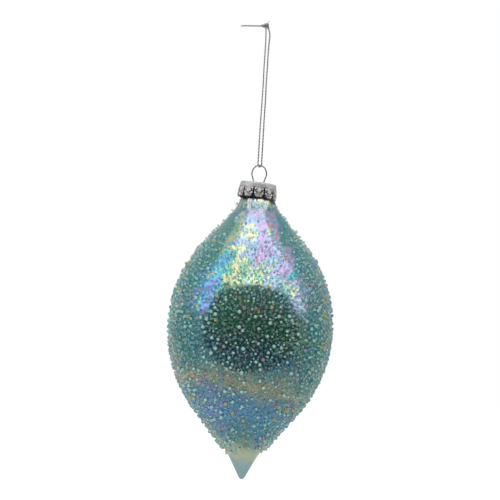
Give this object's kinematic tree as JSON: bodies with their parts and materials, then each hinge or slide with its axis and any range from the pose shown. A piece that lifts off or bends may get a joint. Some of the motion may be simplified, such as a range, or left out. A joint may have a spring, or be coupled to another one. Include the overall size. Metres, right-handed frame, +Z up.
{
  "type": "hanging ornament",
  "caption": "Drop-shaped blown glass ornament coated in tiny glass beads, with a stamped crown cap, a sprung wire hanger and a loop of twisted metallic thread.",
  "frame": {"origin": "top of the thread loop, just under its knot, where a hook or twig holds it", "axes": "+Z up, opposite to the way the ornament hangs; the wire ring lies in the XZ plane and is seen face on along +Y"},
  "size_m": [0.0832, 0.0832, 0.2304],
  "materials": {
    "teal_glass": "blown glass with a teal lustre that shifts between blue, violet, pink and gold",
    "clear_adhesive": "thin clear adhesive film",
    "bead_glass": "clear glass micro-beads with a pale lustre",
    "cap_metal": "thin stamped sheet, embossed, silver with darkened recesses",
    "spring_wire": "drawn spring wire",
    "metallic_thread": "two-ply silver metallic thread"
  },
  "bodies": {
    "thread": {"thread_loop": "metallic_thread", "thread_knot": "metallic_thread", "thread_tail_long": "metallic_thread", "thread_tail_short": "metallic_thread"},
    "bight": {"thread_bight": "metallic_thread"},
    "hanger": {"wire_hanger": "spring_wire"},
    "cap": {"cap": "cap_metal"},
    "glass": {"glass_body": "teal_glass", "adhesive_coat": "clear_adhesive", "beads_shoulder": "bead_glass", "beads_upper": "bead_glass", "beads_belly": "bead_glass", "beads_lower": "bead_glass", "beads_taper": "bead_glass"}
  },
  "joints": [
    {"name": "thread_spin", "type": "hinge", "parent": "thread", "child": "bight", "pos_m": [0, 0, -0.06], "axis": [0, 0, 1], "continuous": true},
    {"name": "hanger_tilt", "type": "hinge", "parent": "bight", "child": "hanger", "pos_m": [0, 0, -0.0692], "axis": [1, 0, 0], "range_deg": [-90, 90]},
    {"name": "wire_draw", "type": "slide", "parent": "hanger", "child": "cap", "axis": [0, 0, -1], "range_m": [0, 0.002]},
    {"name": "glass_pull", "type": "slide", "parent": "cap", "child": "glass", "axis": [0, 0, -1], "range_m": [0, 0.03]}
  ]
}
